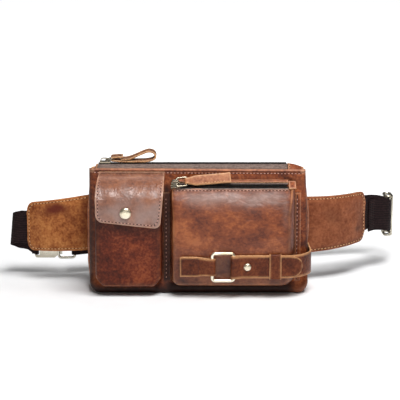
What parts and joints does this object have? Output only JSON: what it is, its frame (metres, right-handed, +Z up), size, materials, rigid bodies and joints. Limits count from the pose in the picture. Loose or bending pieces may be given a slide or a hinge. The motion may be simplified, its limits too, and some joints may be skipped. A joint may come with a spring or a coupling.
{
  "type": "waist pack",
  "caption": "Leather waist pack with a flap pocket, a zipped pocket, a strap trim with a ring, side wings and a clasped webbing belt.",
  "frame": {"origin": "centre of the pack's base, on the surface that it stands on", "axes": "+Z up, +X to the viewer's right when the pockets face the viewer, -Y to the front"},
  "size_m": [0.4535, 0.1955, 0.1591],
  "materials": {
    "leather_main": "distressed reddish-brown leather with lighter rubbed edges",
    "leather_flap": "greyish brown leather with a waxed sheen",
    "leather_wing": "orange-tan leather with a soft nap and darker patches",
    "leather_pull": "tan raw-edged leather strip",
    "webbing": "dark woven webbing",
    "zip_tape": "grey-brown woven zip tape",
    "zip_teeth": "dark coil",
    "metal_gold": "pale gold plated, slightly worn",
    "metal_nickel": "nickel plated, slightly tarnished",
    "padding": "felted padding",
    "lining_cloth": "dark lining cloth"
  },
  "bodies": {
    "pack": {"front_panel": "leather_main", "back_panel": "leather_main", "gusset": "leather_main", "main_zip_end_tab_left": "leather_main", "main_zip_end_tab_right": "leather_main", "flap_pocket": "leather_main", "zip_pocket": "leather_main", "zip_pocket_end_tab": "leather_main", "strap_anchor": "leather_main", "strap": "leather_main", "flap_sewn_edge": "leather_flap", "left_wing": "leather_wing", "right_wing": "leather_wing", "left_webbing": "webbing", "belt_strap": "webbing", "belt_strap_rear": "webbing", "belt_strap_turn": "webbing", "belt_strap_tail": "webbing", "belt_strap_end": "webbing", "main_zip_tape_front": "zip_tape", "main_zip_tape_rear": "zip_tape", "zip_pocket_tape_upper": "zip_tape", "zip_pocket_tape_lower": "zip_tape", "main_zip_teeth_front": "zip_teeth", "main_zip_teeth_rear": "zip_teeth", "zip_pocket_teeth_upper": "zip_teeth", "zip_pocket_teeth_lower": "zip_teeth", "snap_stud": "metal_gold", "strap_ring": "metal_gold", "strap_rivet": "metal_gold", "left_wing_padding": "padding", "right_wing_padding": "padding", "lining": "lining_cloth", "left_wing_backing": "lining_cloth", "right_wing_backing": "lining_cloth"},
    "main_slider": {"main_zip_slider": "metal_gold"},
    "main_link": {"main_zip_pull_link": "metal_gold"},
    "main_pull": {"main_zip_pull": "leather_pull"},
    "pocket_slider": {"zip_pocket_slider": "metal_gold"},
    "pocket_link": {"zip_pocket_pull_link": "metal_gold"},
    "pocket_pull": {"zip_pocket_pull": "leather_pull"},
    "flap": {"flap": "leather_flap", "snap_cap": "metal_gold", "snap_socket": "metal_gold"},
    "left_belt": {"left_webbing_end": "webbing"},
    "clasp_hook": {"clasp_hook": "metal_nickel"},
    "clasp_ring": {"clasp_ring": "metal_nickel"},
    "adjuster": {"adjuster_frame": "metal_nickel"},
    "keeper": {"strap_keeper": "leather_main"}
  },
  "joints": [
    {"name": "main_zip_slide", "type": "slide", "parent": "pack", "child": "main_slider", "axis": [1, 0, 0], "range_m": [0, 0.194]},
    {"name": "main_link_hinge", "type": "hinge", "parent": "main_slider", "child": "main_link", "pos_m": [-0.1032, 0, 0.1463], "axis": [0, -1, 0], "range_deg": [0, 90]},
    {"name": "main_pull_hinge", "type": "hinge", "parent": "main_link", "child": "main_pull", "pos_m": [-0.0955, 0, 0.1482], "axis": [0, -1, 0], "range_deg": [0, 60]},
    {"name": "pocket_zip_slide", "type": "slide", "parent": "pack", "child": "pocket_slider", "axis": [1, 0, 0], "range_m": [0, 0.116]},
    {"name": "pocket_link_hinge", "type": "hinge", "parent": "pocket_slider", "child": "pocket_link", "pos_m": [-0.024, -0.03024, 0.1266], "axis": [0.11, -0.4909, -0.8642], "range_deg": [0, 90]},
    {"name": "pocket_pull_hinge", "type": "hinge", "parent": "pocket_link", "child": "pocket_pull", "pos_m": [-0.013, -0.029, 0.1276], "axis": [0.11, -0.4909, -0.8642], "range_deg": [0, 60]},
    {"name": "flap_hinge", "type": "hinge", "parent": "pack", "child": "flap", "pos_m": [-0.07725, -0.0216, 0.132], "axis": [-1, 0, 0], "range_deg": [0, 90]},
    {"name": "left_belt_swing", "type": "hinge", "parent": "pack", "child": "left_belt", "pos_m": [-0.2023, 0.0545, 0.0485], "axis": [0, 0, 1], "range_deg": [0, 100]},
    {"name": "clasp_hook_pivot", "type": "hinge", "parent": "left_belt", "child": "clasp_hook", "pos_m": [-0.192, 0.0572, 0.042], "axis": [0, 0, 1], "range_deg": [0, 70]},
    {"name": "clasp_ring_pivot", "type": "hinge", "parent": "pack", "child": "clasp_ring", "pos_m": [-0.146, 0.056, 0.042], "axis": [0, 0, 1], "range_deg": [0, 50]},
    {"name": "adjuster_slide", "type": "slide", "parent": "pack", "child": "adjuster", "axis": [0, 1, 0], "range_m": [-0.003, 0.005]},
    {"name": "strap_keeper_slide", "type": "slide", "parent": "pack", "child": "keeper", "axis": [1, 0, 0], "range_m": [-0.016, 0.002]}
  ]
}
